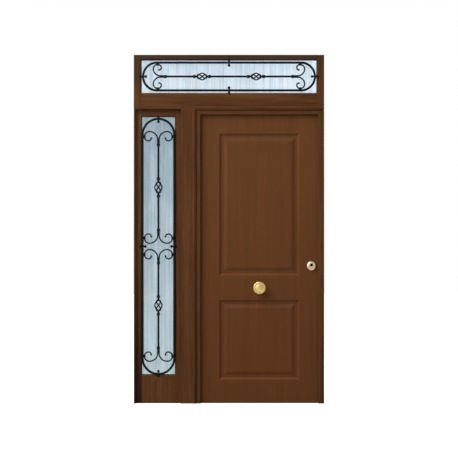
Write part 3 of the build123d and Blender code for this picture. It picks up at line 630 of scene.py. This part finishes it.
def keyhole_liner():
    """A black sleeve round the keyhole, from the lock cylinder to the escutcheon's face; its black is
    partly painted shade in the deep keyhole.
    """
    mesh = bmesh.new()
    guard_low, guard_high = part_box("lock_escutcheon")
    cylinder_low, cylinder_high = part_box("lock_cylinder")
    depth = cylinder_low.y - guard_low.y - SUNK
    outer = KEYHOLE_RADIUS - LINER_PLAY
    sleeve = [
        (0.85 * outer, 0.0),
        (outer, 0.0),
        (outer, depth),
        (0.95 * outer, depth + 0.0003),
        (0.86 * outer, depth - 0.0006),
        (0.82 * outer, depth - 0.003),
    ]
    centre = ((guard_low.x + guard_high.x) / 2.0, cylinder_low.y, cylinder_high.z - PLUG_RADIUS)
    lathe(mesh, sleeve, centre, (0.0, -1.0, 0.0), 40, closed=True)
    add_piece("keyhole_liner", mesh, BLACK_STEEL_AND_SHADE, "leaf")


def hinge_heights():
    """Where the two halves of each hinge meet."""
    low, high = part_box("hinge_leaf_halves")
    spacing = (high.z - HINGE_KNUCKLE - low.z) / (HINGE_COUNT - 1)
    return [low.z + i * spacing for i in range(HINGE_COUNT)]


def hinge_details(body, side):
    """Screws in the plates and finials on the barrels of one body's hinge halves."""
    hinge_x, hinge_y, _ = RECORD["behaviour"]["joints"][0]["pos_m"]
    plate_face = LEAF_HIGH.y + HINGE_PLATE
    screws = bmesh.new()
    finials = bmesh.new()
    tip = [
        (FINIAL_RADIUS, -SUNK),
        (FINIAL_RADIUS, 0.0012),
        (0.75 * FINIAL_RADIUS, 0.0026),
        (0.82 * FINIAL_RADIUS, 0.0046),
        (0.57 * FINIAL_RADIUS, 0.0072),
        (0.2 * FINIAL_RADIUS, 0.0084),
    ]
    for height in hinge_heights():
        for rise, stagger in HINGE_SCREW_STEPS:
            spot = (hinge_x + side * (HINGE_SCREW_REACH + stagger), plate_face, height + side * rise)
            socket_screw(screws, spot, (0.0, 1.0, 0.0), SCREW_RADIUS)
        lathe(finials, tip, (hinge_x, hinge_y, height + side * HINGE_KNUCKLE), (0.0, 0.0, side))
    add_piece("hinge_screws_" + body, screws, STEEL, body)
    add_piece("hinge_finials_" + body, finials, STEEL, body)


def plate_screws(node, body, side):
    """Screws along the lock's faceplate or its strike plate."""
    mesh = bmesh.new()
    low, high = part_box(node)
    face = high.x if side > 0 else low.x
    for share in PLATE_SCREW_PLACES:
        spot = (face, (low.y + high.y) / 2.0, low.z + share * (high.z - low.z))
        socket_screw(mesh, spot, (side, 0.0, 0.0), PLATE_SCREW_RADIUS)
    add_piece(node + "_screws", mesh, STEEL, body)


def anchor_caps():
    """Brown caps over the wall anchors, on the faces that stay in view."""
    mesh = bmesh.new()
    cap = [
        (CAP_RADIUS, -SUNK),
        (CAP_RADIUS, 0.0007),
        (0.9 * CAP_RADIUS, 0.0016),
        (0.2 * CAP_RADIUS, 0.0021),
    ]
    jamb_low, jamb_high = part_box("left_jamb")
    sash_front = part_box("sidelight_left_stile")[0].y
    strip_front = jamb_low.y + STRIP_SETBACK
    stop_back = LEAF_LOW.y - STOP_GAP
    spacing = (jamb_high.z - 2.0 * ANCHOR_MARGIN) / (ANCHOR_COUNT - 1)
    for i in range(ANCHOR_COUNT):
        height = ANCHOR_MARGIN + i * spacing
        lathe(mesh, cap, (jamb_high.x, (jamb_low.y + sash_front) / 2.0, height), (1.0, 0.0, 0.0))
        lathe(mesh, cap, (OPENING_RIGHT, (strip_front + stop_back) / 2.0, height), (-1.0, 0.0, 0.0))
    glass_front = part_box("transom_glass")[0].y
    light_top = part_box("transom_glazing_beads")[1].z - GLASS_REBATE
    unit_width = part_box("lock_jamb")[1].x
    for x in (HEAD_ANCHOR_MARGIN, unit_width - HEAD_ANCHOR_MARGIN):
        lathe(mesh, cap, (x, (jamb_low.y + glass_front) / 2.0, light_top), (0.0, 0.0, -1.0))
    add_piece("anchor_caps", mesh, PLASTIC, "frame")


def area_light(name, place, size, watts):
    """A square lamp aimed at the middle of the unit."""
    lamp = bpy.data.lights.new(name, "AREA")
    lamp.energy = watts
    lamp.size = size
    holder = bpy.data.objects.new(name, lamp)
    bpy.context.scene.collection.objects.link(holder)
    holder.location = place
    aim = Vector((VIEW_CENTRE[0], 0.0, VIEW_CENTRE[1])) - Vector(place)
    holder.rotation_euler = aim.to_track_quat("-Z", "Y").to_euler()


def make_floor():
    """A pale floor that the camera sees as bright as the backdrop."""
    bpy.ops.mesh.primitive_plane_add(size=FLOOR_SIZE, location=(VIEW_CENTRE[0], 0.0, -FLOOR_DROP))
    floor = bpy.context.object
    floor.name = "floor"
    pale = Shader("pale_floor")
    pale.set(Base_Color=(FLOOR_GREY, FLOOR_GREY, FLOOR_GREY, 1.0), Roughness=0.9, Specular_IOR_Level=0.1)
    pale.set(Emission_Color=WHITE)
    seen = pale.node("ShaderNodeLightPath").outputs["Is Camera Ray"]
    glow = pale.node("ShaderNodeMapRange", {"Value": seen, "To Max": FLOOR_GLOW})
    pale.set(Emission_Strength=glow.outputs["Result"])
    floor.data.materials.append(pale.material)


def make_world():
    """Even light, brighter from behind the door so that the glass glows; plain white to the camera."""
    world = bpy.data.worlds.new("studio")
    world.use_nodes = True
    bpy.context.scene.world = world
    nodes = world.node_tree.nodes
    links = world.node_tree.links
    parts = nodes.new("ShaderNodeSeparateXYZ")
    links.new(nodes.new("ShaderNodeTexCoord").outputs["Generated"], parts.inputs["Vector"])
    glow = nodes.new("ShaderNodeMapRange")
    glow.interpolation_type = "SMOOTHSTEP"
    limits = {"From Min": GLOW_START, "From Max": GLOW_END, "To Min": AMBIENT, "To Max": BACKDROP}
    for key, value in limits.items():
        glow.inputs[key].default_value = value
    links.new(parts.outputs["Y"], glow.inputs["Value"])
    strength = nodes.new("ShaderNodeMix")
    strength.inputs["B"].default_value = 1.0
    links.new(nodes.new("ShaderNodeLightPath").outputs["Is Camera Ray"], strength.inputs["Factor"])
    links.new(glow.outputs["Result"], strength.inputs["A"])
    background = nodes["Background"]
    background.inputs["Color"].default_value = WHITE
    links.new(strength.outputs["Result"], background.inputs["Strength"])


def make_camera():
    """A camera straight before the unit, far enough back for the photo's scale."""
    view_width = MM_PER_PIXEL * IMAGE_PIXELS / 1000.0
    data = bpy.data.cameras.new("camera")
    data.lens = LENS_MM
    data.sensor_width = SENSOR_MM
    camera = bpy.data.objects.new("camera", data)
    bpy.context.scene.collection.objects.link(camera)
    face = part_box("mullion")[0].y
    camera.location = (VIEW_CENTRE[0], face - view_width * LENS_MM / SENSOR_MM, VIEW_CENTRE[1])
    camera.rotation_euler = (radians(90.0), 0.0, 0.0)
    bpy.context.scene.camera = camera


# The dressed part
dress_nodes()
door_seal()
door_sweep()
glazing_gasket("transom")
glazing_gasket("sidelight")
grille_fixings()
keyhole_liner()
hinge_details("frame", -1.0)
hinge_details("leaf", 1.0)
plate_screws("lock_faceplate", "leaf", 1.0)
plate_screws("strike_plate", "frame", -1.0)
anchor_caps()

# The studio
make_floor()
make_world()
area_light("key", KEY_PLACE, KEY_SIZE, KEY_WATTS)
area_light("back", BACK_PLACE, BACK_SIZE, BACK_WATTS)
make_camera()
bpy.context.scene.view_settings.view_transform = "Standard"
